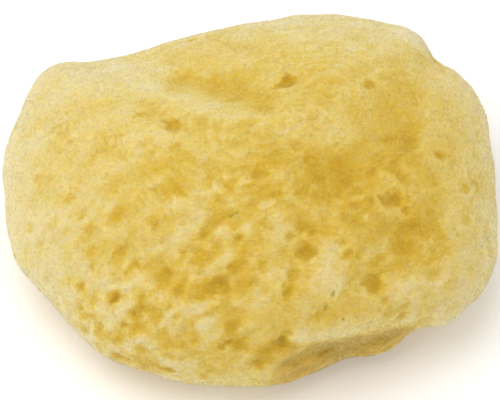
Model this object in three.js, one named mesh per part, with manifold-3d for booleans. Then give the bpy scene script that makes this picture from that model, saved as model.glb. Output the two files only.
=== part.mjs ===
// A natural bath sponge, grown as one piece: a soft bun with open pores, cut flat where it
// was lifted off the rock. Millimetres, +Z up, its front towards -Y, its length along X.
import * as THREE from "three";
import { mergeVertices } from "three/addons/utils/BufferGeometryUtils.js";
import Module from "manifold-3d";

// Driving dimensions
const HALF_WIDTH = 60;
const HALF_DEPTH = 51;
const HALF_HEIGHT = 29;
const MIDDLE_HEIGHT = 20; // from the cut base up to the middle of the bun
const LEAN = THREE.MathUtils.degToRad(35); // how far the rim's axis leans forward from upright

// Facets
const BODY_DETAIL = 16; // each of an icosahedron's 20 faces becomes (detail + 1) squared triangles
const PORE_DETAIL = 1;
const RIM_STEPS = 720;
const WELD = 1e-4; // corners closer than this are one corner
const FAR_AWAY = 200; // well outside the body

// The rim is the bun's outermost line, drawn as [across, up] in the plane square to the leaning axis.
// It runs anticlockwise from the right end: a notch at the upper right, a long straight fall to the
// squared left shoulder, a full round front, and a stepped bay at the lower right.
const RIM = [
  [59.8, 0], [59, 12.1], [57.6, 22.8], [53.2, 31.2], [49.4, 33.9], [45.4, 36.5], [44, 40],
  [40.4, 42.7], [30.2, 45.5], [17, 46.2], [4.8, 43.3], [-10.4, 40.3], [-24.1, 36.3], [-37.5, 33.6],
  [-48.4, 33.4], [-52.5, 31.1], [-55.5, 24.2], [-59.2, 13.4], [-59.7, 5.3], [-58.7, -6], [-55.8, -15.6],
  [-48.9, -23.4], [-41.2, -31.7], [-31.6, -39.1], [-19.1, -42.7], [-8.4, -44.3], [1.7, -44.2],
  [9.6, -43.6], [20.5, -39.2], [24.5, -37.5], [29.3, -37.5], [33.9, -35.9], [37.9, -32.6],
  [40.2, -30], [45, -29.7], [52.6, -25.5], [57.8, -19], [59.6, -9.6],
];

// Broad swells and hollows of the face inside the rim, in the rim's plane. Turn is in degrees,
// anticlockwise from across, and rise is along the leaning axis.
const RELIEF = [
  { at: [-6, 28], span: [17, 5.5], turn: -6, rise: -3.2 }, // the fold behind the front lobe
  { at: [-20, 25], span: [13, 3], turn: -24, rise: 1.4 }, // the crest in front of the fold
  { at: [8, 19], span: [14, 4], turn: 10, rise: 1 },
  { at: [22, 5], span: [10, 7], turn: 15, rise: -2.8 }, // the wide hollow right of the middle
  { at: [36, 16], span: [7, 7], turn: 0, rise: -1.8 },
  { at: [37, -10], span: [9, 6], turn: 10, rise: -2.6 },
  { at: [14, -9], span: [6, 5], turn: 50, rise: -1.8 },
  { at: [18, -16], span: [4, 5], turn: -20, rise: 2 }, // the pale lump below the hollow
  { at: [31, -25], span: [11, 4], turn: 15, rise: 1.6 }, // the brow over the bay
  { at: [-22, -1], span: [9, 4], turn: 0, rise: 1.3 },
  { at: [-25, -14], span: [13, 5], turn: -10, rise: -1.5 },
  { at: [-38, 10], span: [12, 12], turn: 0, rise: 1.2 },
  { at: [48, -22], span: [6, 6], turn: 0, rise: 1.2 },
];
const RELIEF_FADE = 14; // the relief dies out over this height above the rim's plane

// The bay at the lower right: below this line the front steps back under the brow.
const BAY = { from: [6, -35], to: [40, -29.5], depth: 6, edge: 1.4, fade: 5 };

// Main pores of the face, [across, up, radius, depth]. A pore runs between square to the surface
// (slant 0) and straight along the line it was placed by (slant 1).
const PORE_SLANT = 0.5;
const FACE_PORES = [
  [9.2, 28.4, 2.3, 2], [-18.8, 17.6, 1.9, 1.8], [28.4, 27.7, 1.6, 1.5], [29.9, -20.2, 2.5, 2],
  [35.4, 0, 2.2, 2], [38.8, 13.7, 1.7, 1.5], [13.3, -12.8, 1.9, 2], [-20.2, -17.4, 1.8, 1.6],
  [-32.3, -22.4, 1.7, 1.5], [-6.3, -20.7, 1.5, 1.5], [1.4, 6, 1.5, 1.5], [8, -33.3, 1.9, 1.8],
  [-2.4, -34.9, 1.8, 1.8], [46, 10.8, 1.5, 1.5], [-52.5, -7, 1.5, 1.5],
];

// Pores of the far side, spread evenly by the golden ratio. Angles are in degrees: azimuth runs
// anticlockwise from +X, and elevation is seen from the middle of the bun.
const FAR_PORES = { count: 9, radius: 1.9, depth: 1.8, azimuth: [25, 155], elevation: [-8, 22] };
const GOLDEN_SHARE = (Math.sqrt(5) - 1) / 2;

// Gentle waves of the hidden side: rates along x, y and z, and a phase
const WAVE_RISE = 2.4;
const WAVES = [[3.1, 1.7, 2, 0.4], [-1.9, 3.7, 2, 1.9], [2.3, -2.9, 2, 3.3]];

const ACROSS = new THREE.Vector3(1, 0, 0);
const UP = new THREE.Vector3(0, Math.cos(LEAN), Math.sin(LEAN));
const TOWARDS = new THREE.Vector3(0, -Math.sin(LEAN), Math.cos(LEAN));
const MIDDLE = new THREE.Vector3(0, 0, MIDDLE_HEIGHT);

const wasm = await Module();
wasm.setup();

// A closed geometry as a solid, and a solid as a geometry
function solidOf(geometry) {
  const bare = geometry.clone();
  bare.deleteAttribute("normal");
  bare.deleteAttribute("uv");
  const merged = mergeVertices(bare, WELD);
  return new wasm.Manifold(
    new wasm.Mesh({
      numProp: 3,
      vertProperties: merged.attributes.position.array,
      triVerts: new Uint32Array(merged.index.array),
    }),
  );
}

function geometryOf(solid) {
  const mesh = solid.getMesh();
  const geometry = new THREE.BufferGeometry();
  geometry.setAttribute("position", new THREE.BufferAttribute(mesh.vertProperties, 3));
  geometry.setIndex(new THREE.BufferAttribute(mesh.triVerts, 1));
  geometry.computeVertexNormals();
  return geometry;
}

// The rim's radius at an angle, read off its closed curve
const rimCurve = new THREE.CatmullRomCurve3(
  RIM.map(([across, up]) => new THREE.Vector3(across, up, 0)), true, "centripetal",
);
const rimSamples = rimCurve.getPoints(RIM_STEPS)
  .map((point) => ({ angle: Math.atan2(point.y, point.x), radius: Math.hypot(point.x, point.y) }))
  .sort((a, b) => a.angle - b.angle);

function rimRadius(angle) {
  const next = rimSamples.findIndex((sample) => sample.angle >= angle);
  if (next <= 0) {
    return rimSamples[0].radius;
  }
  const [a, b] = [rimSamples[next - 1], rimSamples[next]];
  return THREE.MathUtils.mapLinear(angle, a.angle, b.angle, a.radius, b.radius);
}

// The plain ellipsoid's radius at an angle, seen along the leaning axis
const PLAIN_UP = Math.hypot(HALF_DEPTH * Math.cos(LEAN), HALF_HEIGHT * Math.sin(LEAN));
function plainRadius(angle) {
  return 1 / Math.hypot(Math.cos(angle) / HALF_WIDTH, Math.sin(angle) / PLAIN_UP);
}

// How far the face stands out of the plain bun at a place in the rim's plane
function relief(across, up) {
  let rise = 0;
  for (const { at, span, turn, rise: height } of RELIEF) {
    const angle = THREE.MathUtils.degToRad(turn);
    const [dx, dy] = [across - at[0], up - at[1]];
    const along = (dx * Math.cos(angle) + dy * Math.sin(angle)) / span[0];
    const aside = (dy * Math.cos(angle) - dx * Math.sin(angle)) / span[1];
    rise += height * Math.exp(-(along * along) - aside * aside);
  }
  return rise - bay(across, up);
}

function bay(across, up) {
  const [fromX, fromY] = BAY.from;
  const [toX, toY] = BAY.to;
  const length = Math.hypot(toX - fromX, toY - fromY);
  const [dirX, dirY] = [(toX - fromX) / length, (toY - fromY) / length];
  const along = (across - fromX) * dirX + (up - fromY) * dirY;
  const below = (across - fromX) * dirY - (up - fromY) * dirX;
  const { smoothstep } = THREE.MathUtils;
  const within = smoothstep(along, -BAY.fade, BAY.fade) * smoothstep(length - along, -BAY.fade, BAY.fade);
  return BAY.depth * smoothstep(below, -BAY.edge, BAY.edge) * within;
}

function wave(direction) {
  const parts = WAVES.map(([x, y, z, phase]) =>
    Math.sin(x * direction.x + y * direction.y + z * direction.z + phase));
  return (WAVE_RISE * parts.reduce((sum, part) => sum + part, 0)) / WAVES.length;
}

// The body's surface in one direction from its middle: the plain ellipsoid, stretched so that
// its rim follows the drawn one, with the relief on its near side and waves on its far side
function surfacePoint(direction) {
  const point = direction.clone().multiply(new THREE.Vector3(HALF_WIDTH, HALF_DEPTH, HALF_HEIGHT));
  const angle = Math.atan2(point.dot(UP), point.dot(ACROSS));
  const plain = plainRadius(angle);
  const share = Math.hypot(point.dot(UP), point.dot(ACROSS)) / plain;
  point.multiplyScalar(1 + (rimRadius(angle) / plain - 1) * share * share);
  const height = point.dot(TOWARDS);
  const near = THREE.MathUtils.smoothstep(height, 0, RELIEF_FADE);
  const far = THREE.MathUtils.smoothstep(-height, 0, RELIEF_FADE);
  point.addScaledVector(TOWARDS, near * relief(point.dot(ACROSS), point.dot(UP)));
  return point.addScaledVector(direction, far * wave(direction));
}

function bun() {
  const geometry = new THREE.IcosahedronGeometry(1, BODY_DETAIL);
  const position = geometry.attributes.position;
  const direction = new THREE.Vector3();
  for (let i = 0; i < position.count; i++) {
    const point = surfacePoint(direction.fromBufferAttribute(position, i).normalize());
    position.setXYZ(i, ...point.add(MIDDLE));
  }
  return geometry;
}

// One pore's drill: an ellipsoid sunk to its depth where a ray meets the body
function drillAt(body, origin, towards, radius, depth) {
  const [hit] = new THREE.Raycaster(origin, towards).intersectObject(body);
  const drill = new THREE.IcosahedronGeometry(1, PORE_DETAIL);
  drill.scale(radius, radius, depth);
  const inward = hit.face.normal.clone().negate().lerp(towards, PORE_SLANT).normalize();
  drill.applyQuaternion(new THREE.Quaternion().setFromUnitVectors(new THREE.Vector3(0, 0, 1), inward));
  drill.translate(...hit.point);
  return solidOf(drill);
}

function facePoreDrills(body) {
  return FACE_PORES.map(([across, up, radius, depth]) => {
    const origin = MIDDLE.clone().addScaledVector(ACROSS, across).addScaledVector(UP, up);
    origin.addScaledVector(TOWARDS, FAR_AWAY);
    return drillAt(body, origin, TOWARDS.clone().negate(), radius, depth);
  });
}

function farPoreDrills(body) {
  const { count, radius, depth, azimuth, elevation } = FAR_PORES;
  return Array.from({ length: count }, (_, i) => {
    const around = THREE.MathUtils.degToRad(THREE.MathUtils.lerp(...azimuth, (i + 0.5) / count));
    const above = THREE.MathUtils.degToRad(THREE.MathUtils.lerp(...elevation, ((i + 1) * GOLDEN_SHARE) % 1));
    const outward = new THREE.Vector3(
      Math.cos(around) * Math.cos(above), Math.sin(around) * Math.cos(above), Math.sin(above),
    );
    const origin = MIDDLE.clone().addScaledVector(outward, FAR_AWAY);
    return drillAt(body, origin, outward.negate(), radius, depth);
  });
}

// Everything below the cut base
function ground() {
  const size = 2 * FAR_AWAY;
  return solidOf(new THREE.BoxGeometry(size, size, size).translate(0, 0, -size / 2));
}

function spongeGeometry() {
  const bunGeometry = bun();
  const target = new THREE.Mesh(bunGeometry);
  let solid = solidOf(bunGeometry);
  for (const drill of [...facePoreDrills(target), ...farPoreDrills(target)]) {
    solid = solid.subtract(drill);
  }
  const geometry = geometryOf(solid.subtract(ground()));
  geometry.computeBoundingBox();
  const centre = geometry.boundingBox.getCenter(new THREE.Vector3());
  return geometry.translate(-centre.x, -centre.y, 0);
}

const spongeMaterial = new THREE.MeshStandardMaterial({ color: 0xdfc36a, roughness: 0.95, metalness: 0 });

const sponge = new THREE.Mesh(spongeGeometry(), spongeMaterial);
sponge.name = "sponge";

const group = new THREE.Group();
group.add(sponge);

export default group;
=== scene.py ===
"""The look of a natural bath sponge: a golden, fibrous bun that is dry, worn and full of pores.

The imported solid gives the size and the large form. It is turned into a field of signed distances
(millimetres, below zero inside), the field is roughened and dented as a sponge is, and the skin of
the field becomes the mesh that is seen. Fine fibres and a few grains of dirt are then set on it.
"""

import itertools
import math

import bpy
import numpy as np
import openvdb as vdb
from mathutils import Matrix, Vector


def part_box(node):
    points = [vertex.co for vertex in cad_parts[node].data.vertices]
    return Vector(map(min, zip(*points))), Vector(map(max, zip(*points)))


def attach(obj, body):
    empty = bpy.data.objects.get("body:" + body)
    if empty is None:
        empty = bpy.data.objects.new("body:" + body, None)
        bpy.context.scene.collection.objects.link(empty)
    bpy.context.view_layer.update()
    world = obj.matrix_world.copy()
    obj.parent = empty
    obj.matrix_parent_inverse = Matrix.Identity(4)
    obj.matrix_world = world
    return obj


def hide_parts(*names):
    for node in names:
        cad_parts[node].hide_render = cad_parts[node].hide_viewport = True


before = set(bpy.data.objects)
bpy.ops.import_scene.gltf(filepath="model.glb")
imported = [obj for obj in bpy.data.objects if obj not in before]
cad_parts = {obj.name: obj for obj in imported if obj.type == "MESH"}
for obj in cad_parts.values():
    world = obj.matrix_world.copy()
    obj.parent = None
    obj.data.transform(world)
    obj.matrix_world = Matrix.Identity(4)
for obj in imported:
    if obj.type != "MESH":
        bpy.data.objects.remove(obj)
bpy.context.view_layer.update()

# Units, and the photograph's view in millimetres and pixels, with how far before and past the target a
# line of sight is searched
MM = 0.001
PHOTO_WIDTH = 500
PHOTO_HEIGHT = 400
MM_PER_PIXEL = 0.242
VIEW_ELEVATION = math.radians(55)
VIEW_TARGET = np.array([0.0, -0.8, 19.4])
VIEW_DISTANCE = 800.0
SIGHT_REACH = 80.0
SENSOR_WIDTH = 36.0
ACROSS = np.array([1.0, 0.0, 0.0])
UP = np.array([0.0, math.sin(VIEW_ELEVATION), math.cos(VIEW_ELEVATION)])
TOWARDS = np.array([0.0, -math.cos(VIEW_ELEVATION), math.sin(VIEW_ELEVATION)])
EYE = VIEW_TARGET + VIEW_DISTANCE * TOWARDS

# The grain runs up to the right in the photograph
GRAIN_TURN = math.radians(38)
GRAIN_LINE = math.cos(GRAIN_TURN) * ACROSS + math.sin(GRAIN_TURN) * UP

# The field, in millimetres: its voxels, the room round the solid, the bands worked on and the blurs;
# then how many triangles its skin is thinned to
VOXEL = 0.42
ROOM = 3.0
BAND = 6.0
WORK_BAND = 3.0
FACET_BLUR = 1.6
SOFTEN_BLUR = 0.42
SKIN_BLUR = 2.2
CAVITY_BLURS = [0.8, 2.1]
BODY_TRIANGLES = 196000

# Spread of the noise before it is evened out, the steps in voxels to each side over which the skin's
# direction is taken, and a slope that keeps a division off zero
SPLINE_SPREAD = 0.408
NORMAL_STEP = 2
LEAST_SLOPE = 1e-6

# Swells over the whole skin: spacing and height in millimetres
SWELLS = [(9.0, 0.12), (3.6, 0.12)]

# Pits and crumbs: spacing, rarity, depth or height, and to which power they follow the crumble
PITS = [(2.4, 0.0, 0.33, 1), (1.6, 0.0, 0.42, 2)]
PIT_STRETCH = 1.5
CRUMBS = [(1.5, 0.1, 0.34, 2)]

# Fine grain all over: spacing and height
GRAIN = [(0.8, 0.03)]

# Folds that the photograph shows: pixels along the fold, half width in pixels, rise in millimetres
FOLDS = [
    ([(115, 72), (170, 96), (225, 111), (255, 123)], 12, 0.5),
    ([(180, 82), (225, 94), (268, 104)], 13, -0.5),
    ([(385, 231), (405, 228), (436, 226)], 8, -0.3),
    ([(292, 337), (327, 333), (352, 328), (381, 321), (408, 318)], 9, 0.35),
    ([(322, 350), (352, 345), (381, 338), (404, 333)], 8, -0.4),
    ([(266, 370), (282, 357), (300, 347)], 9, 1.0),
    ([(250, 23), (285, 18)], 18, 0.5),
    ([(404, 30), (422, 38)], 11, 0.8),
    ([(436, 59), (443, 65)], 7, -0.7),
    ([(440, 326), (452, 320)], 10, 0.7),
    ([(125, 364), (150, 371)], 16, -0.7),
]

# The lip at the lower right, below which the skin turns down into shade, built in part and in part painted
# shade
# in the colour: pixels along it, how far down the painted shade sets in, where it fades in at the left and
# out at the right, and its strength
LIP = [(250, 347), (280, 336), (299, 342), (327, 340), (352, 335), (381, 328), (420, 326)]
LIP_START = (-2.0, 5.0)
LIP_FADE = (238.0, 294.0)
LIP_END = (385.0, 440.0)
LIP_PAINTED_SHADE = 0.46

# The hidden skin is browner towards the cut base: heights over which that fades, its wave, strength
BASE_FADE = (2.0, 13.0)
BASE_WAVE = 2.5
BASE_WAVE_SPACING = 8.0
BASE_GOLD = 0.38

# Hollows that the photograph shows: pixel across and down, half sizes in pixels, rise
HOLLOWS = [
    (330, 172, 55, 30, -0.6),
    (398, 132, 34, 26, -0.5),
    (405, 243, 34, 26, -0.4),
    (225, 82, 48, 20, -0.3),
]

# Large pores that the photograph shows: pixel across, pixel down, half width and half height in
# pixels, depth in millimetres; then the shares of those sizes and of those depths that are pressed in
SEEN_PORES = [
    (288, 82, 10, 9, 1.25),
    (172, 127, 8, 8, 1.0),
    (368, 85, 7, 7, 0.6),
    (330, 95, 6, 5, 0.3),
    (248, 126, 9, 6, 0.45),
    (256, 175, 8, 6, 0.6),
    (120, 137, 7, 5, 0.3),
    (227, 187, 10, 6, 0.45),
    (184, 197, 5, 5, 0.3),
    (166, 272, 9, 7, 0.75),
    (141, 297, 7, 6, 0.6),
    (83, 288, 7, 7, 0.6),
    (116, 293, 8, 7, 0.6),
    (224, 286, 7, 7, 0.6),
    (374, 284, 11, 11, 0.95),
    (396, 200, 10, 8, 1.3),
    (404, 178, 6, 6, 0.6),
    (393, 168, 8, 6, 0.6),
    (369, 200, 5, 5, 0.45),
    (441, 155, 7, 5, 0.6),
    (466, 190, 6, 6, 0.6),
    (411, 143, 9, 7, 0.3),
    (305, 253, 9, 9, 0.83),
    (194, 250, 14, 4, 0.38),
    (240, 239, 6, 6, 0.45),
    (270, 228, 7, 6, 0.3),
    (288, 290, 7, 9, 0.6),
    (135, 325, 8, 6, 0.6),
    (233, 332, 7, 7, 0.6),
    (240, 345, 8, 7, 0.6),
    (283, 338, 8, 10, 0.6),
    (288, 358, 7, 7, 0.3),
    (327, 351, 6, 6, 0.6),
    (259, 363, 10, 7, 0.6),
    (32, 229, 8, 6, 0.45),
    (70, 200, 5, 5, 0.3),
    (88, 228, 7, 6, 0.3),
    (320, 180, 9, 6, 0.38),
    (349, 182, 7, 5, 0.3),
    (277, 199, 5, 5, 0.3),
    (296, 147, 5, 5, 0.3),
    (305, 228, 8, 6, 0.3),
    (401, 245, 12, 8, 0.3),
]
PORE_SPREAD = 1.15
PORE_SHALLOWNESS = 0.77

# Form of every pore, in shares of its half size: where its bowl starts to rise and ends, its low rim,
# and how far it is worked out
PORE_FLOOR = 0.0
PORE_EDGE = 1.35
RIM_PLACE = 1.3
RIM_WIDTH = 0.3
PORE_REACH = 2.6

# In millimetres: over which distances past its depth a pore fades, its rim's height, the deepest dent
PORE_CLEARANCE = (1.0, 3.0)
PORE_RIM = 0.06
DEEPEST_DENT = 1.0

# How uneven the pores are, and the spacing of that in millimetres
PORE_WOBBLE = 0.24
SMALL_WOBBLE = 0.2
HIDDEN_WOBBLE = 0.2
PORE_WOBBLE_SPACING = 1.2

# Pores on the sides that the photograph hides: how many, ranges of radius and depth, and where
HIDDEN_PORES = 110
HIDDEN_RADII = (1.0, 2.4)
HIDDEN_DEPTHS = (0.3, 0.9)
MOST_SEEN = 0.3
LEAST_PORE_HEIGHT = 3.0

# Small pores all over: how many, ranges of radius, stretch and depth, and how they crowd together
SMALL_PORES = 600
SMALL_RADII = (0.7, 1.6)
SMALL_STRETCHES = (1.0, 2.2)
SMALL_DEPTHS = (0.05, 0.28)
SMALL_CROWDING = 2.5

# Where the seen side is crumbly: pixel across and down, half sizes in pixels, strength; then how
# crumbly the rest of that side is, and the hidden side
CRUMBLY = [
    (140, 320, 110, 60, 0.65),
    (290, 250, 120, 60, 0.32),
    (400, 200, 50, 50, 0.15),
    (400, 285, 50, 30, 0.3),
    (440, 240, 40, 20, 0.2),
    (170, 210, 120, 60, 0.22),
]
SMOOTHEST = 0.32
HIDDEN_CRUMBLE = 0.5

# Round the pores deeper than this the skin is calm, over this many times their size
CALM_FROM = 0.7
CALM = 1.7

# How far the skin is turned to the eye where the seen side fades into the hidden one
SEEN_FADE = (-0.5, -0.15)

# Where the seen side is more golden, or paler where the strength is below zero: partly the sponge's own
# tone, partly painted light and shade, with the pale patches along the rims and at the top left as painted
# sheen and light and the golden patches at the lower right as painted shade; pixel across and down, half
# sizes in pixels, strength
GOLD_AND_PAINTED_LIGHT = [
    (228, 90, 55, 16, 0.03),
    (398, 133, 32, 32, 0.16),
    (325, 175, 46, 28, 0.13),
    (340, 200, 85, 60, 0.155),
    (400, 240, 34, 36, 0.10),
    (190, 262, 70, 14, 0.08),
    (225, 290, 50, 30, 0.08),
    (242, 345, 30, 26, 0.22),
    (286, 354, 20, 15, 0.14),
    (350, 316, 45, 16, 0.09),
    (5, 200, 45, 170, -0.24),
    (60, 250, 50, 60, -0.15),
    (85, 75, 80, 34, -0.26),
    (15, 140, 40, 50, -0.1),
    (290, 15, 130, 26, -0.16),
    (498, 215, 19, 105, -0.2),
    (466, 305, 32, 26, -0.14),
    (466, 100, 34, 44, -0.16),
    (80, 330, 50, 34, -0.2),
    (215, 385, 60, 14, -0.10),
    (170, 207, 26, 9, -0.08),
    (100, 160, 90, 50, -0.06),
    (390, 42, 50, 16, -0.18),
    (315, 130, 45, 24, -0.12),
    (270, 165, 28, 40, -0.06),
    (331, 264, 12, 22, -0.3),
    (284, 268, 10, 14, -0.12),
    (228, 236, 12, 12, -0.08),
    (45, 275, 40, 50, -0.08),
    (130, 312, 50, 36, 0.05),
    (175, 368, 90, 16, -0.08),
]

# How golden the skin is where nothing changes it; what dents and hollows add as painted shade, what folds
# take off ridges and add in grooves as painted light and shade, what a fibre's tip adds, and how far it
# strays at most; the mottle's spacing, strength and the power by which it follows the crumble
GOLD_AT_REST = 0.45
PAINTED_SHADE_BY_DENT = 0.42
PAINTED_SHADE_BY_CAVITY = [-0.32, -0.3]
MOST_PAINTED_HOLLOW_SHADE = 0.25
GOLD_NOISES = [(2.3, 0.16, 1), (1.5, 0.14, 2)]
GOLD_STRETCH = 1.8
GOLD_SPAN = 0.4
PAINTED_LIGHT_BY_FOLD = -0.2
GOLD_AT_TIP = -0.2

# Colours from pale cream to deep ochre; the last, darkest stop is reached mostly where the painted shade
# below the lip or the browner base is added
GOLD_STOPS = [
    (0.0, (0.795, 0.69, 0.375, 1)),
    (0.35, (0.75, 0.57, 0.145, 1)),
    (0.5, (0.71, 0.505, 0.088, 1)),
    (0.65, (0.675, 0.445, 0.042, 1)),
    (0.8, (0.61, 0.365, 0.02, 1)),
    (1.0, (0.48, 0.3, 0.02, 1)),
]

# Fibres on the skin: pieces, fibres in each, ranges of length, half width and lift, how deep they are
# rooted and their least height above the base
FUZZ_PIECES = ["fuzz_straw", "fuzz_cream"]
FUZZ_FIBRES = 45000
FIBRE_LENGTHS = (0.5, 1.2)
FIBRE_HALF_WIDTHS = (0.05, 0.09)
FIBRE_LIFTS = (0.05, 0.4)
FIBRE_ROOT = 0.15
LEAST_FIBRE_HEIGHT = 0.5

# A fibre's corners, round its root and then its tip, and its faces
ROOT_CORNERS = 3
FIBRE_CORNERS = ROOT_CORNERS + 1
FIBRE_FACES = [(0, 1, 3), (1, 2, 3), (2, 0, 3), (0, 2, 1)]

# Grains of dirt caught in the skin: pixels of both ends and half width in pixels; then each one's
# rings, sides, flatness and the share of its width that is left at the ends
GRAINS = [
    ((228, 217), (239, 212), 1.3),
    ((342, 318), (344, 320), 1.4),
    ((335, 290), (331, 297), 1.6),
    ((327, 303), (324, 311), 1.1),
]
GRAIN_RINGS = 7
GRAIN_SIDES = 6
GRAIN_FLATNESS = 0.9
GRAIN_TIP = 0.15

# Materials: values of shader sockets, with noise scales per metre
SKIN_SHADER = {
    "Roughness": 0.95,
    "Sheen Weight": 0.5,
    "Sheen Roughness": 0.5,
    "Sheen Tint": (1.0, 0.93, 0.75, 1.0),
    "Specular IOR Level": 0.1,
    "Subsurface Radius": (1.0, 0.6, 0.25),
    "Subsurface Scale": 3.0 * MM,
}
SKIN_SCATTER = 1.0
FIBRE_SCATTER = 0.0
# The fibres' colour is painted lighter, as painted light that makes up for their own shade
FIBRE_PAINTED_LIGHT = 0.12
FLECKS = {"Scale": 1100, "Detail": 4, "Roughness": 0.65}
FLECK_STRENGTH = 0.46
SKIN_GRAIN = {"Scale": 1600, "Detail": 3}
SKIN_BUMP = {"Strength": 0.4, "Distance": 0.4 * MM}
DIRT_SHADER = {"Roughness": 0.9, "Specular IOR Level": 0.1}
DIRT_COLOURS = [(0.44, 0.32, 0.055, 1), (0.54, 0.4, 0.07, 1)]
DIRT_MOTTLE = {"Scale": 2500}
DIRT_BUMP = {"Distance": 0.2 * MM}

# The stage, in metres and watts
FLOOR_SIZE = 6.0
FLOOR_SHADER = {
    "Base Color": (0.9, 0.9, 0.9, 1),
    "Roughness": 0.9,
    "Emission Color": (1, 1, 1, 1),
    "Emission Strength": 0.16,
}
SKY = {"Color": (1, 1, 1, 1), "Strength": 0.69}
KEY_PLACE = (-0.18, -0.08, 0.75)
KEY_AIM = (0, 0, 0.02)
KEY_SIZE = 0.6
KEY_POWER = 3.1
KEY_COLOUR = (1, 0.98, 0.95)

# Seeds
RNG = np.random.default_rng(7)
NOISE_SEEDS = itertools.count(100)

# The grid of voxels round the solid
sponge_low, sponge_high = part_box("sponge")
first_voxel = np.floor((np.array(sponge_low) / MM - ROOM) / VOXEL).astype(int)
last_voxel = np.ceil((np.array(sponge_high) / MM + ROOM) / VOXEL).astype(int)
grid_shape = tuple(int(count) for count in last_voxel - first_voxel + 1)
grid_corners = VOXEL * np.array(list(itertools.product(*zip(first_voxel, last_voxel))))


# Fields, blurs and noise
def voxel_points(indices):
    """Places in millimetres of voxels given as rows of indices."""
    return (indices + first_voxel) * VOXEL


def voxel_indices(points):
    """Indices of the voxels nearest to places in millimetres, kept inside the grid."""
    nearest = np.rint(points / VOXEL).astype(int) - first_voxel
    return np.clip(nearest, 0, np.array(grid_shape) - 1)


def sampled(field, points):
    """Values of a field at places in millimetres."""
    return field[tuple(voxel_indices(points).T)]


def unit_rows(rows):
    """Rows scaled to a length of one."""
    return rows / np.linalg.norm(rows, axis=1, keepdims=True)


def mesh_corners(mesh):
    """Vertex places in millimetres and the triangles of a mesh."""
    places = np.empty(len(mesh.vertices) * 3, np.float32)
    mesh.vertices.foreach_get("co", places)
    mesh.calc_loop_triangles()
    corners = np.empty(len(mesh.loop_triangles) * 3, np.int32)
    mesh.loop_triangles.foreach_get("vertices", corners)
    return places.reshape(-1, 3) / MM, corners.reshape(-1, 3).astype(np.uint32)


def solid_field(mesh):
    """Signed distances to the skin of a closed mesh, on the whole grid."""
    points, triangles = mesh_corners(mesh)
    level_set = vdb.FloatGrid.createLevelSetFromPolygons(
        points.astype(np.float32),
        triangles=triangles,
        transform=vdb.createLinearTransform(VOXEL),
        halfWidth=BAND / VOXEL,
    )
    field = np.empty(grid_shape, np.float32)
    level_set.copyToArray(field, ijk=tuple(int(i) for i in first_voxel))
    return field


def box_blur(field, axis, half):
    """The field averaged along one axis over a number of voxels to each side."""
    ends = [(half + 1, half) if i == axis else (0, 0) for i in range(3)]
    sums = np.moveaxis(np.cumsum(np.pad(field, ends, "edge"), axis, dtype=np.float32), axis, 0)
    means = (sums[2 * half + 1:] - sums[:-2 * half - 1]) / (2 * half + 1)
    return np.ascontiguousarray(np.moveaxis(means, 0, axis))


def blurred(field, reach, rounds=3):
    """The field blurred over a reach in millimetres, by rounds of box blurs along each axis."""
    half = max(1, round(reach / VOXEL))
    for axis in (0, 1, 2) * rounds:
        field = box_blur(field, axis, half)
    return field


def drawn_in(points, stretch):
    """Places squeezed along the grain, so that noise made there is drawn out when they spring back."""
    return points - (1 - 1 / stretch) * (points @ GRAIN_LINE)[:, None] * GRAIN_LINE


def noise_at(points, spacing, stretch=1.0):
    """Smooth random values at places, drawn out along the grain, with a spread of about one."""
    corners = drawn_in(grid_corners, stretch) / spacing
    low = corners.min(0)
    places = drawn_in(points, stretch) / spacing - low
    cells = places.astype(np.int32)
    part = (places - cells).astype(np.float32)
    # Shares of the three nearest lattice values along each axis, as in a quadratic spline
    weights = [0.5 * (1 - part) ** 2, 0.5 + part * (1 - part), 0.5 * part**2]
    lattice_shape = np.ceil(corners.max(0) - low).astype(int) + len(weights)
    lattice = np.random.default_rng(next(NOISE_SEEDS)).standard_normal(lattice_shape, dtype=np.float32)
    total = np.zeros(len(points), np.float32)
    for i, j, k in itertools.product(range(len(weights)), repeat=3):
        share = weights[i][:, 0] * weights[j][:, 1] * weights[k][:, 2]
        total += share * lattice[cells[:, 0] + i, cells[:, 1] + j, cells[:, 2] + k]
    return total / np.float32(SPLINE_SPREAD)


def smooth_step(low, high, value):
    """Zero below low, one above high, and a soft step between them."""
    share = np.clip((value - low) / (high - low), 0, 1)
    return share * share * (3 - 2 * share)


def soft_rise(value):
    """Zero below zero, and a soft start to a straight rise above it."""
    above = np.maximum(value, 0)
    return above * above / (above + 1)


# The photograph's view
def photo_pixels(points):
    """Photograph pixels, across and down, at which places in millimetres are seen."""
    offset = points - EYE
    scale = VIEW_DISTANCE / MM_PER_PIXEL / -(offset @ TOWARDS)
    across = PHOTO_WIDTH / 2 + (offset @ ACROSS) * scale
    down = PHOTO_HEIGHT / 2 - (offset @ UP) * scale
    return across, down


def seen_of(skin):
    """One where the smooth skin faces the photograph's eye, and zero where it is turned away."""
    slopes = np.gradient(skin)
    steepness = np.sqrt(sum(slope**2 for slope in slopes)) + LEAST_SLOPE
    facing = sum(slope * part for slope, part in zip(slopes, TOWARDS)) / steepness
    return smooth_step(*SEEN_FADE, facing).astype(np.float32)


def pixel_ray(across, down):
    """Unit direction from the eye through a pixel of the photograph."""
    sideways = (across - PHOTO_WIDTH / 2) * MM_PER_PIXEL * ACROSS
    upwards = (PHOTO_HEIGHT / 2 - down) * MM_PER_PIXEL * UP
    ray = VIEW_TARGET + sideways + upwards - EYE
    return ray / np.linalg.norm(ray)


def skin_under_pixel(skin, across, down):
    """The first place on the smooth skin along a pixel's line of sight."""
    ray = pixel_ray(across, down)
    steps = np.arange(VIEW_DISTANCE - SIGHT_REACH, VIEW_DISTANCE + SIGHT_REACH, VOXEL / 2)
    points = EYE + steps[:, None] * ray
    return points[np.argmax(sampled(skin, points) < 0)]


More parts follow.
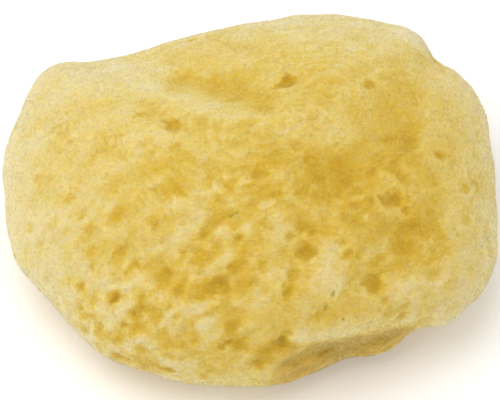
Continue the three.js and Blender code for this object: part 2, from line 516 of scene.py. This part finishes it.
def skin_normals(skin, indices):
    """Outward directions of the smooth skin at voxels."""
    slopes = []
    for axis in range(3):
        ahead = indices.copy()
        behind = indices.copy()
        ahead[:, axis] = np.minimum(ahead[:, axis] + NORMAL_STEP, grid_shape[axis] - 1)
        behind[:, axis] = np.maximum(behind[:, axis] - NORMAL_STEP, 0)
        slopes.append(skin[tuple(ahead.T)] - skin[tuple(behind.T)])
    return unit_rows(np.stack(slopes, 1))


# The skin's shape
def window(centre, reach):
    """Grid slices around a place, and the places of their voxels relative to it."""
    low = voxel_indices(centre - reach)
    high = voxel_indices(centre + reach) + 1
    slices = tuple(slice(a, b) for a, b in zip(low, high))
    axes = [
        (np.arange(a, b) + first_voxel[i]) * VOXEL - centre[i]
        for i, (a, b) in enumerate(zip(low, high))
    ]
    return slices, np.stack(np.meshgrid(*axes, indexing="ij"), -1)


def press_pore(dents, wobble, place, normal, along, half_width, half_height, depth):
    """Presses one pore into the grid of dents, its width along a line, with a low rim round it."""
    side = along - (along @ normal) * normal
    side /= np.linalg.norm(side)
    rise = np.cross(normal, side)
    slices, offset = window(place, PORE_REACH * max(half_width, half_height) + depth)
    reach = np.hypot(offset @ side / half_width, offset @ rise / half_height)
    reach *= 1 + wobble[slices]
    fade_start, fade_end = PORE_CLEARANCE
    near = 1 - smooth_step(depth + fade_start, depth + fade_end, np.abs(offset @ normal))
    rim = PORE_RIM * np.exp(-(((reach - RIM_PLACE) / RIM_WIDTH) ** 2))
    bowl = depth * (1 - smooth_step(PORE_FLOOR, PORE_EDGE, reach))
    dents[slices] += near * (bowl - rim)


def blobs(across, down, table):
    """Sum of the soft round patches in a table, at pixels of the photograph."""
    total = np.zeros(len(across), np.float32)
    for x, y, half_width, half_height, strength in table:
        sideways = (across - x) / half_width
        upwards = (down - y) / half_height
        total += strength * np.exp(-(sideways**2) - upwards**2)
    return total


def fold_rise(across, down):
    """How far the folds raise the skin, or lower it if below zero, at pixels of the photograph."""
    total = np.zeros(len(across), np.float32)
    for line, half_width, rise in FOLDS:
        nearest = np.full(len(across), np.inf, np.float32)
        for (x0, y0), (x1, y1) in zip(line, line[1:]):
            run, drop = x1 - x0, y1 - y0
            share = ((across - x0) * run + (down - y0) * drop) / (run**2 + drop**2)
            share = np.clip(share, 0, 1)
            gap = (across - x0 - share * run) ** 2 + (down - y0 - share * drop) ** 2
            nearest = np.minimum(nearest, gap)
        total += rise * np.exp(-nearest / half_width**2)
    return total


def crumble_of(points):
    """How crumbly the skin is at places, from zero to one."""
    across, down = photo_pixels(points)
    shown = sampled(seen, points)
    calm = [
        (x, y, CALM * half_width, CALM * half_height, 1)
        for x, y, half_width, half_height, depth in SEEN_PORES
        if depth > CALM_FROM
    ]
    crumble = np.minimum(SMOOTHEST + blobs(across, down, CRUMBLY), 1)
    crumble *= 1 - np.minimum(blobs(across, down, calm), 1)
    return shown * crumble + (1 - shown) * HIDDEN_CRUMBLE


def roughen(field):
    """Gives the skin its folds, hollows, swells, pits and crumbs, and makes the pores' wobble."""
    band = np.flatnonzero(np.abs(field) < WORK_BAND)
    points = voxel_points(np.stack(np.unravel_index(band, grid_shape), 1)).astype(np.float32)
    across, down = photo_pixels(points)
    crumble = crumble_of(points)
    change = -sampled(seen, points) * (fold_rise(across, down) + blobs(across, down, HOLLOWS))
    for spacing, height in SWELLS + GRAIN:
        change -= height * noise_at(points, spacing, PIT_STRETCH)
    for spacing, rarity, depth, power in PITS:
        pits = soft_rise(noise_at(points, spacing, PIT_STRETCH) - rarity)
        change += depth * crumble**power * pits
    for spacing, rarity, height, power in CRUMBS:
        change -= height * crumble**power * soft_rise(noise_at(points, spacing) - rarity)
    field.ravel()[band] += change
    wobble = np.zeros(grid_shape, np.float32)
    wobble.ravel()[band] = noise_at(points, PORE_WOBBLE_SPACING)
    return wobble


def press_seen_pores(dents, skin, wobble):
    """Presses in the pores that the photograph shows, each under its own pixel."""
    for x, y, half_width, half_height, depth in SEEN_PORES:
        place = skin_under_pixel(skin, x, y)
        normal = skin_normals(skin, voxel_indices(place)[None])[0]
        sizes = PORE_SPREAD * MM_PER_PIXEL * np.array([half_width, half_height])
        press_pore(dents, wobble, place, normal, ACROSS, *sizes, PORE_SHALLOWNESS * depth)


def skin_voxels(skin):
    """Voxels on the smooth skin, above the cut base."""
    near = np.argwhere(np.abs(skin) < VOXEL / 2)
    return near[voxel_points(near)[:, 2] > LEAST_PORE_HEIGHT]


def press_hidden_pores(dents, skin, wobble):
    """Presses seeded pores into the sides that the photograph hides."""
    near = skin_voxels(skin)
    near = near[seen[tuple(near.T)] < MOST_SEEN]
    for index in near[RNG.choice(len(near), HIDDEN_PORES, replace=False)]:
        normal = skin_normals(skin, index[None])[0]
        half_width, half_height = RNG.uniform(*HIDDEN_RADII, 2)
        depth = RNG.uniform(*HIDDEN_DEPTHS)
        press_pore(dents, wobble, voxel_points(index), normal, ACROSS, half_width, half_height, depth)


def press_small_pores(dents, skin, wobble):
    """Presses seeded small pores all over, more of them where the skin is crumbly."""
    near = skin_voxels(skin)
    chances = crumble_of(voxel_points(near)) ** SMALL_CROWDING
    chosen = RNG.choice(len(near), SMALL_PORES, replace=False, p=chances / chances.sum())
    normals = skin_normals(skin, near[chosen])
    for index, normal in zip(near[chosen], normals):
        radius = RNG.uniform(*SMALL_RADII)
        stretch = RNG.uniform(*SMALL_STRETCHES)
        depth = RNG.uniform(*SMALL_DEPTHS)
        press_pore(dents, wobble, voxel_points(index), normal, GRAIN_LINE, radius * stretch, radius, depth)


def cut_base(field):
    """Cuts the field off flat at the height of zero."""
    heights = (np.arange(grid_shape[2]) + first_voxel[2]) * VOXEL
    return np.maximum(field, -heights[None, None, :]).astype(np.float32)


def sponge_field():
    """The finished field, and how deep the pores are pressed into it."""
    field = blurred(solid, FACET_BLUR)
    wobble = roughen(field)
    dents = np.zeros(grid_shape, np.float32)
    press_seen_pores(dents, skin, PORE_WOBBLE * wobble)
    press_hidden_pores(dents, skin, HIDDEN_WOBBLE * wobble)
    press_small_pores(dents, skin, SMALL_WOBBLE * wobble)
    dents = DEEPEST_DENT * np.tanh(dents / DEEPEST_DENT)
    return cut_base(blurred(field + dents, SOFTEN_BLUR, 1)), dents


# Pieces
def skin_mesh(field):
    """The skin of the field as a mesh in metres."""
    grid = vdb.FloatGrid(BAND)
    grid.copyFromArray(np.ascontiguousarray(field), ijk=tuple(int(i) for i in first_voxel))
    grid.transform = vdb.createLinearTransform(VOXEL)
    points, _, quads = grid.convertToPolygons()
    mesh = bpy.data.meshes.new("sponge_body")
    mesh.from_pydata(points * MM, [], quads[:, ::-1])
    return mesh


def add_object(name, mesh):
    """A new object for a mesh, linked to the scene."""
    piece = bpy.data.objects.new(name, mesh)
    bpy.context.scene.collection.objects.link(piece)
    return piece


def thin_out(piece, triangles):
    """Collapses a piece's mesh to a number of triangles."""
    piece.data.calc_loop_triangles()
    thin = piece.modifiers.new("thin", "DECIMATE")
    thin.ratio = triangles / len(piece.data.loop_triangles)
    with bpy.context.temp_override(object=piece, active_object=piece, selected_objects=[piece]):
        bpy.ops.object.modifier_apply(modifier=thin.name)


def set_values(mesh, name, values):
    """Stores one number for each vertex under a name."""
    attribute = mesh.attributes.new(name, "FLOAT", "POINT")
    attribute.data.foreach_set("value", values.astype(np.float32))


def lip_shade(across, down):
    """One below the lip at the lower right, where the colour gets painted shade, and zero above it and to
    its left.
    """
    lip = np.interp(across, *zip(*LIP))
    fade = smooth_step(*LIP_FADE, across) * (1 - smooth_step(*LIP_END, across))
    return fade * smooth_step(*LIP_START, down - lip)


def gold_of(points, cavities, dents):
    """How golden the skin is at places, from pale cream at zero to deep gold at one, with painted shade in
    dents, hollows, grooves and below the lip and painted light on ridges and rims.
    """
    across, down = photo_pixels(points)
    # Painted light and shade: the table's lit and shaded patches, and ridges painted paler and grooves
    # darker
    drawn = blobs(across, down, GOLD_AND_PAINTED_LIGHT) + PAINTED_LIGHT_BY_FOLD * fold_rise(across, down)
    shown = sampled(seen, points)
    # Dents painted more golden and darker, as painted shade in the pores
    gold = GOLD_AT_REST + shown * drawn + PAINTED_SHADE_BY_DENT * dents
    # Hollows painted more golden and darker, as painted shade, up to a limit
    painted_hollow_shade = sum(share * depth for share, depth in zip(PAINTED_SHADE_BY_CAVITY, cavities))
    gold += np.minimum(painted_hollow_shade, MOST_PAINTED_HOLLOW_SHADE)
    crumble = crumble_of(points)
    for spacing, strength, power in GOLD_NOISES:
        gold += strength * crumble**power * noise_at(points, spacing, GOLD_STRETCH)
    gold = GOLD_AT_REST + GOLD_SPAN * np.tanh((gold - GOLD_AT_REST) / GOLD_SPAN)
    heights = points[:, 2] + BASE_WAVE * noise_at(points, BASE_WAVE_SPACING)
    base = (1 - shown) * (1 - smooth_step(*BASE_FADE, heights))
    # Painted shade below the lip, and the browner base of the hidden skin
    return gold + LIP_PAINTED_SHADE * lip_shade(across, down) + BASE_GOLD * base


def build_body():
    """The sponge itself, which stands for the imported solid."""
    field, dents = sponge_field()
    body = add_object("sponge_body", skin_mesh(field))
    thin_out(body, BODY_TRIANGLES)
    body.data.shade_smooth()
    points, _ = mesh_corners(body.data)
    cavities = [sampled(blurred(field, reach), points) for reach in CAVITY_BLURS]
    set_values(body.data, "gold", gold_of(points, cavities, sampled(dents, points)))
    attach(body, "root")
    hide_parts("sponge")
    return body, field


def spindle_points(spine, half_width):
    """Places of a spindle's rings round the places along its spine."""
    side = np.cross(spine[-1] - spine[0], TOWARDS)
    side /= np.linalg.norm(side)
    points = []
    for i, centre in enumerate(spine):
        radius = half_width * (GRAIN_TIP + math.sin(math.pi * i / (GRAIN_RINGS - 1)))
        for turn in np.arange(GRAIN_SIDES) * math.tau / GRAIN_SIDES:
            outwards = math.cos(turn) * side + GRAIN_FLATNESS * math.sin(turn) * TOWARDS
            points.append(centre + radius * outwards)
    return points


def spindle_faces(first):
    """Faces of a spindle whose points start at a number: its sides and both ends."""
    faces = []
    for i, j in itertools.product(range(GRAIN_RINGS - 1), range(GRAIN_SIDES)):
        a = first + i * GRAIN_SIDES + j
        b = first + i * GRAIN_SIDES + (j + 1) % GRAIN_SIDES
        faces.append((a, b, b + GRAIN_SIDES, a + GRAIN_SIDES))
    last = first + (GRAIN_RINGS - 1) * GRAIN_SIDES
    faces.append(tuple(first + j for j in reversed(range(GRAIN_SIDES))))
    faces.append(tuple(last + j for j in range(GRAIN_SIDES)))
    return faces


def build_grains(field):
    """One joined mesh of grains of dirt, each a spindle that lies along the skin."""
    points = []
    faces = []
    shares = np.linspace(0, 1, GRAIN_RINGS)[:, None]
    for start, end, half_width in GRAINS:
        pixels = (1 - shares) * np.array(start) + shares * np.array(end)
        spine = np.array([skin_under_pixel(field, *pixel) for pixel in pixels])
        faces += spindle_faces(len(points))
        points += spindle_points(spine, half_width * MM_PER_PIXEL)
    mesh = bpy.data.meshes.new("grains")
    mesh.from_pydata(np.array(points) * MM, [], faces)
    mesh.shade_smooth()
    piece = add_object("grains", mesh)
    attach(piece, "root")
    return piece


def skin_samples(body, count):
    """Seeded places on a piece's mesh, with the outward directions and the gold there."""
    points, triangles = mesh_corners(body.data)
    normals = np.empty(len(points) * 3, np.float32)
    body.data.vertex_normals.foreach_get("vector", normals)
    normals = normals.reshape(-1, 3)
    gold = np.empty(len(points), np.float32)
    body.data.attributes["gold"].data.foreach_get("value", gold)
    corners = points[triangles]
    crossed = np.cross(corners[:, 1] - corners[:, 0], corners[:, 2] - corners[:, 0])
    chances = np.linalg.norm(crossed, axis=1)
    chances *= corners[:, :, 2].min(1) > LEAST_FIBRE_HEIGHT
    chosen = RNG.choice(len(triangles), count, p=chances / chances.sum())
    shares = RNG.dirichlet((1, 1, 1), count)
    places = np.einsum("ij,ijk->ik", shares, corners[chosen])
    directions = unit_rows(np.einsum("ij,ijk->ik", shares, normals[triangles[chosen]]))
    return places, directions, np.einsum("ij,ij->i", shares, gold[triangles[chosen]])


def fibre_points(roots, normals):
    """Corners of seeded fibres, each a thin splinter that stands on the skin at its root."""
    across = unit_rows(np.cross(normals, RNG.standard_normal(roots.shape)))
    lift = RNG.uniform(*FIBRE_LIFTS, FUZZ_FIBRES)[:, None]
    length = RNG.uniform(*FIBRE_LENGTHS, FUZZ_FIBRES)[:, None]
    half_width = RNG.uniform(*FIBRE_HALF_WIDTHS, FUZZ_FIBRES)[:, None]
    along = unit_rows(lift * normals + (1 - lift) * across)
    side = unit_rows(np.cross(along, normals))
    over = np.cross(side, along)
    base = roots - FIBRE_ROOT * along
    turns = np.arange(ROOT_CORNERS) * math.tau / ROOT_CORNERS
    corners = [base + half_width * (math.cos(turn) * side + math.sin(turn) * over) for turn in turns]
    return np.stack(corners + [roots + length * along], 1).reshape(-1, 3)


def build_fuzz(name, body):
    """One joined mesh of fine fibres."""
    roots, normals, gold = skin_samples(body, FUZZ_FIBRES)
    points = fibre_points(roots, normals)
    first_corners = FIBRE_CORNERS * np.arange(FUZZ_FIBRES)[:, None, None]
    faces = (first_corners + np.array(FIBRE_FACES)).reshape(-1, 3)
    mesh = bpy.data.meshes.new(name)
    mesh.from_pydata(points * MM, [], faces)
    mesh.shade_smooth()
    paler = np.array([0] * ROOT_CORNERS + [GOLD_AT_TIP])
    set_values(mesh, "gold", (gold[:, None] + paler).ravel())
    piece = add_object(name, mesh)
    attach(piece, "root")
    return piece


# Materials
def set_inputs(node, values):
    """Sets sockets of a node by name."""
    for name, value in values.items():
        node.inputs[name].default_value = value


def new_material(name):
    """A new material with nodes, and its tree of nodes."""
    material = bpy.data.materials.new(name)
    material.use_nodes = True
    return material, material.node_tree


def add_noise(tree, values):
    """A noise in a material's tree that stays with the object."""
    coordinates = tree.nodes.new("ShaderNodeTexCoord")
    noise = tree.nodes.new("ShaderNodeTexNoise")
    set_inputs(noise, values)
    tree.links.new(coordinates.outputs["Object"], noise.inputs["Vector"])
    return noise


def add_bump(tree, noise, values):
    """A bump from a noise, on a material's shader."""
    bump = tree.nodes.new("ShaderNodeBump")
    set_inputs(bump, values)
    tree.links.new(noise.outputs["Fac"], bump.inputs["Height"])
    tree.links.new(bump.outputs["Normal"], tree.nodes["Principled BSDF"].inputs["Normal"])


def dirt_material():
    """Dull olive brown, mottled."""
    material, tree = new_material("grain_dirt")
    shader = tree.nodes["Principled BSDF"]
    set_inputs(shader, DIRT_SHADER)
    mottle = add_noise(tree, DIRT_MOTTLE)
    ramp = tree.nodes.new("ShaderNodeValToRGB")
    for stop, colour in zip(ramp.color_ramp.elements, DIRT_COLOURS):
        stop.color = colour
    tree.links.new(mottle.outputs["Fac"], ramp.inputs["Fac"])
    tree.links.new(ramp.outputs["Color"], shader.inputs["Base Color"])
    add_bump(tree, mottle, DIRT_BUMP)
    return material


def gold_ramp(tree):
    """The ramp from pale cream to deep ochre."""
    ramp = tree.nodes.new("ShaderNodeValToRGB")
    stops = ramp.color_ramp.elements
    stops[0].color = GOLD_STOPS[0][1]
    stops[1].color = GOLD_STOPS[-1][1]
    for place, colour in GOLD_STOPS[1:-1]:
        stops.new(place).color = colour
    return ramp


def sponge_material(name, scatter, paler):
    """Matte, velvety spongin, coloured by the gold stored on the mesh and flecked."""
    material, tree = new_material(name)
    shader = tree.nodes["Principled BSDF"]
    set_inputs(shader, SKIN_SHADER)
    set_inputs(shader, {"Subsurface Weight": scatter})
    flecks = add_noise(tree, FLECKS)
    gold = tree.nodes.new("ShaderNodeAttribute")
    gold.attribute_name = "gold"
    flecked = tree.nodes.new("ShaderNodeMath")
    flecked.operation = "MULTIPLY_ADD"
    flecked.inputs[1].default_value = FLECK_STRENGTH
    tree.links.new(flecks.outputs["Fac"], flecked.inputs[0])
    tree.links.new(gold.outputs["Fac"], flecked.inputs[2])
    centred = tree.nodes.new("ShaderNodeMath")
    centred.operation = "SUBTRACT"
    # Moves the colour towards cream; for the fibres this is painted light
    centred.inputs[1].default_value = FLECK_STRENGTH / 2 + paler
    tree.links.new(flecked.outputs["Value"], centred.inputs[0])
    ramp = gold_ramp(tree)
    tree.links.new(centred.outputs["Value"], ramp.inputs["Fac"])
    tree.links.new(ramp.outputs["Color"], shader.inputs["Base Color"])
    add_bump(tree, add_noise(tree, SKIN_GRAIN), SKIN_BUMP)
    return material


# Stage and camera
def build_key():
    """One soft round light from above, a little to the left."""
    light = bpy.data.lights.new("key", "AREA")
    light.shape = "DISK"
    light.size = KEY_SIZE
    light.energy = KEY_POWER
    light.color = KEY_COLOUR
    lamp = bpy.data.objects.new("key", light)
    lamp.location = KEY_PLACE
    lamp.rotation_euler = (Vector(KEY_AIM) - Vector(KEY_PLACE)).to_track_quat("-Z", "Y").to_euler()
    bpy.context.scene.collection.objects.link(lamp)


def build_stage():
    """A plain pale floor, an even white sky and the soft light."""
    bpy.ops.mesh.primitive_plane_add(size=FLOOR_SIZE)
    floor = bpy.context.object
    floor.name = "floor"
    paint, tree = new_material("floor_paint")
    set_inputs(tree.nodes["Principled BSDF"], FLOOR_SHADER)
    floor.data.materials.append(paint)
    world = bpy.data.worlds.new("studio")
    world.use_nodes = True
    set_inputs(world.node_tree.nodes["Background"], SKY)
    bpy.context.scene.world = world
    build_key()
    bpy.context.scene.view_settings.view_transform = "Standard"


def build_camera():
    """The photograph's view."""
    lens = bpy.data.cameras.new("camera")
    lens.sensor_width = SENSOR_WIDTH
    lens.lens = SENSOR_WIDTH * VIEW_DISTANCE / (PHOTO_WIDTH * MM_PER_PIXEL)
    camera = bpy.data.objects.new("camera", lens)
    camera.location = Vector(EYE * MM)
    camera.rotation_euler = Vector(-TOWARDS).to_track_quat("-Z", "Y").to_euler()
    bpy.context.scene.collection.objects.link(camera)
    bpy.context.scene.camera = camera


# The solid, its smooth skin and the side of it that the photograph shows
solid = solid_field(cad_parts["sponge"].data)
skin = blurred(solid, SKIN_BLUR)
seen = seen_of(skin)

# The pieces
body, field = build_body()
grains = build_grains(field)
grains.data.materials.append(dirt_material())
fuzz = [build_fuzz(name, body) for name in FUZZ_PIECES]
body.data.materials.append(sponge_material("sponge_skin", SKIN_SCATTER, 0))
fuzz_material = sponge_material("sponge_fibre", FIBRE_SCATTER, FIBRE_PAINTED_LIGHT)
for piece in fuzz:
    piece.data.materials.append(fuzz_material)
build_stage()
build_camera()
